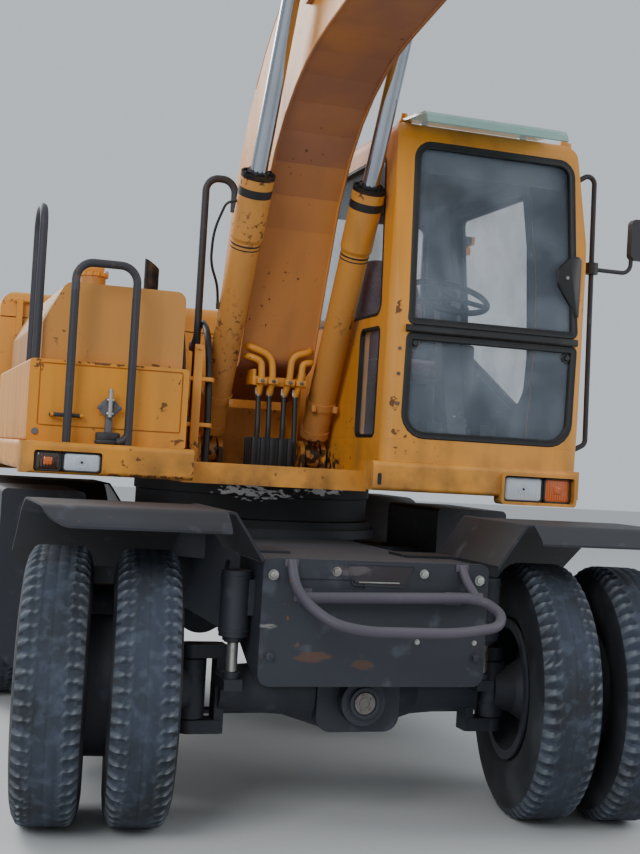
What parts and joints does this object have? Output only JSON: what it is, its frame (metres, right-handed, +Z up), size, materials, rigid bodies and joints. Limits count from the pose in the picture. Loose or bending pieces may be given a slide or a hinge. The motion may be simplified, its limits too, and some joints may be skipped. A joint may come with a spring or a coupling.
{
  "type": "wheeled excavator",
  "caption": "Wheeled excavator with twin tyres, steered front axle, slewing upper body with cab, curved boom, arm and toothed bucket on cylinders.",
  "frame": {"origin": "middle of the bounding box, on the ground under the tyres", "axes": "+Z up; the machine's front and its boom face -Y; +X is the machine's left, the cab side"},
  "size_m": [2.9743, 7.9351, 4.1617],
  "materials": {
    "yellow_paint": "satin",
    "dark_paint": "satin",
    "grey_paint": "satin",
    "tyre": "matt",
    "steel": "worn",
    "chrome": "polished",
    "glass": "clear",
    "lamp": "clear",
    "tinted_plastic": "gloss",
    "black_plastic": "matt",
    "rubber": "matt",
    "seat_fabric": "matt"
  },
  "bodies": {
    "chassis": {"chassis_frame": "dark_paint", "front_box": "dark_paint", "front_step": "grey_paint", "rear_box": "dark_paint", "turntable": "steel", "fenders": "dark_paint", "side_boxes": "dark_paint", "front_axle": "dark_paint", "rear_axle": "dark_paint", "axle_rams": "grey_paint", "drive_shafts": "steel"},
    "track_rod": {"track_rod": "dark_paint"},
    "knuckle_left": {"knuckle_l": "dark_paint"},
    "knuckle_right": {"knuckle_r": "dark_paint"},
    "wheel_front_left": {"tyres_fl": "tyre", "rims_fl": "grey_paint"},
    "wheel_front_right": {"tyres_fr": "tyre", "rims_fr": "grey_paint"},
    "wheel_rear_left": {"tyres_rl": "tyre", "rims_rl": "grey_paint"},
    "wheel_rear_right": {"tyres_rr": "tyre", "rims_rr": "grey_paint"},
    "upper": {"upper_frame": "yellow_paint", "bumpers": "yellow_paint", "lamps": "lamp", "counterweight": "yellow_paint", "hood": "yellow_paint", "engine": "grey_paint", "tank": "yellow_paint", "tool_box": "yellow_paint", "handrails": "dark_paint", "cab_floor": "yellow_paint", "cab_front": "yellow_paint", "cab_inner_side": "yellow_paint", "cab_door_side": "yellow_paint", "cab_back": "yellow_paint", "cab_roof": "yellow_paint", "cab_glass": "glass", "visor": "tinted_plastic", "seat": "seat_fabric", "controls": "black_plastic", "mirror_stay": "dark_paint", "hose_box": "rubber"},
    "hood_lid": {"hood_lid": "yellow_paint", "exhaust": "steel"},
    "cab_door": {"cab_door": "yellow_paint", "door_glass": "glass"},
    "boom": {"boom": "yellow_paint"},
    "boom_barrels": {"boom_barrels": "yellow_paint"},
    "boom_rods": {"boom_rods": "chrome"},
    "arm": {"arm": "yellow_paint"},
    "arm_barrel": {"arm_barrel": "yellow_paint"},
    "arm_rod": {"arm_rod": "chrome"},
    "bucket": {"bucket": "dark_paint"},
    "bucket_barrel": {"bucket_barrel": "yellow_paint"},
    "bucket_rod": {"bucket_rod": "chrome"},
    "bucket_rocker": {"bucket_rocker": "dark_paint"},
    "bucket_link": {"bucket_link": "dark_paint"}
  },
  "joints": [
    {"name": "steer_left", "type": "hinge", "parent": "chassis", "child": "knuckle_left", "pos_m": [0.4272, 0.2675, 0.505], "axis": [0, 0, 1], "range_deg": [-21, 39]},
    {"name": "steer_right", "type": "hinge", "parent": "chassis", "child": "knuckle_right", "pos_m": [-0.8028, 0.2675, 0.505], "axis": [0, 0, 1], "range_deg": [-21, 39]},
    {"name": "spin_front_left", "type": "hinge", "parent": "knuckle_left", "child": "wheel_front_left", "pos_m": [0.4272, 0.2675, 0.505], "axis": [0.9877, -0.1564, 0], "continuous": true},
    {"name": "spin_front_right", "type": "hinge", "parent": "knuckle_right", "child": "wheel_front_right", "pos_m": [-0.8028, 0.2675, 0.505], "axis": [0.9877, -0.1564, 0], "continuous": true},
    {"name": "spin_rear_left", "type": "hinge", "parent": "chassis", "child": "wheel_rear_left", "pos_m": [0.6122, 2.9475, 0.505], "axis": [1, 0, 0], "continuous": true},
    {"name": "spin_rear_right", "type": "hinge", "parent": "chassis", "child": "wheel_rear_right", "pos_m": [-0.9878, 2.9475, 0.505], "axis": [1, 0, 0], "continuous": true},
    {"name": "slew", "type": "hinge", "parent": "chassis", "child": "upper", "pos_m": [-0.1878, 1.8175, 1.25], "axis": [0, 0, 1], "continuous": true},
    {"name": "track_rod_shift", "type": "slide", "parent": "chassis", "child": "track_rod", "axis": [1, 0, 0], "range_m": [-0.1245, 0.0675]},
    {"name": "cab_door_swing", "type": "hinge", "parent": "upper", "child": "cab_door", "pos_m": [1.0672, 2.1595, 1.64], "axis": [0, 0, 1], "range_deg": [0, 95]},
    {"name": "hood_lid_lift", "type": "hinge", "parent": "upper", "child": "hood_lid", "pos_m": [-0.1878, 2.4085, 2.11], "axis": [1, 0, 0], "range_deg": [0, 60]},
    {"name": "boom_lift", "type": "hinge", "parent": "upper", "child": "boom", "pos_m": [-0.2478, 1.7375, 1.76], "axis": [-1, 0, 0], "range_deg": [-50, 14]},
    {"name": "boom_barrels_tilt", "type": "hinge", "parent": "upper", "child": "boom_barrels", "pos_m": [-0.2478, 1.5175, 1.395], "axis": [-1, 0, 0], "range_deg": [-47.9, 13.48]},
    {"name": "boom_rods_stroke", "type": "slide", "parent": "boom_barrels", "child": "boom_rods", "axis": [0, -0.4811, 0.8767], "range_m": [-0.3553, 0.1002]},
    {"name": "arm_swing", "type": "hinge", "parent": "boom", "child": "arm", "pos_m": [-0.2478, -2.2825, 3.57], "axis": [-1, 0, 0], "range_deg": [-60, 34]},
    {"name": "arm_barrel_tilt", "type": "hinge", "parent": "boom", "child": "arm_barrel", "pos_m": [-0.2478, 0.1675, 3.8], "axis": [-1, 0, 0], "range_deg": [-0.76, 0.47]},
    {"name": "arm_rod_stroke", "type": "slide", "parent": "arm_barrel", "child": "arm_rod", "axis": [0, -0.995, 0.0996], "range_m": [-0.2717, 0.4787]},
    {"name": "bucket_curl", "type": "hinge", "parent": "arm", "child": "bucket", "pos_m": [-0.2478, -3.19109, 1.62146], "axis": [-1, 0, 0], "range_deg": [-70, 45]},
    {"name": "bucket_rocker_swing", "type": "hinge", "parent": "arm", "child": "bucket_rocker", "pos_m": [-0.2478, -3.05346, 1.98759], "axis": [-1, 0, 0], "range_deg": [-54.63, 35.16]},
    {"name": "bucket_link_swing", "type": "hinge", "parent": "bucket", "child": "bucket_link", "pos_m": [-0.2478, -3.52398, 1.68841], "axis": [-1, 0, 0], "range_deg": [-37.77, 58.69]},
    {"name": "bucket_barrel_tilt", "type": "hinge", "parent": "arm", "child": "bucket_barrel", "pos_m": [-0.2478, -2.63229, 3.6007], "axis": [-1, 0, 0], "range_deg": [-4.02, 2.62]},
    {"name": "bucket_rod_stroke", "type": "slide", "parent": "bucket_barrel", "child": "bucket_rod", "axis": [0, -0.4809, -0.8768], "range_m": [-0.2264, 0.3516]}
  ],
  "couplings": [
    {"joint": "steer_right", "follows": "steer_left", "ratio": 1},
    {"joint": "track_rod_shift", "follows": "steer_left", "m_per_rad": -0.1815},
    {"joint": "boom_barrels_tilt", "follows": "boom_lift", "ratio": 0.956},
    {"joint": "boom_rods_stroke", "follows": "boom_lift", "m_per_rad": 0.406},
    {"joint": "arm_barrel_tilt", "follows": "arm_swing", "ratio": 0.011},
    {"joint": "arm_rod_stroke", "follows": "arm_swing", "m_per_rad": -0.4562},
    {"joint": "bucket_rocker_swing", "follows": "bucket_curl", "ratio": 0.779},
    {"joint": "bucket_link_swing", "follows": "bucket_curl", "ratio": -0.837},
    {"joint": "bucket_barrel_tilt", "follows": "bucket_curl", "ratio": 0.056},
    {"joint": "bucket_rod_stroke", "follows": "bucket_curl", "m_per_rad": -0.287}
  ]
}
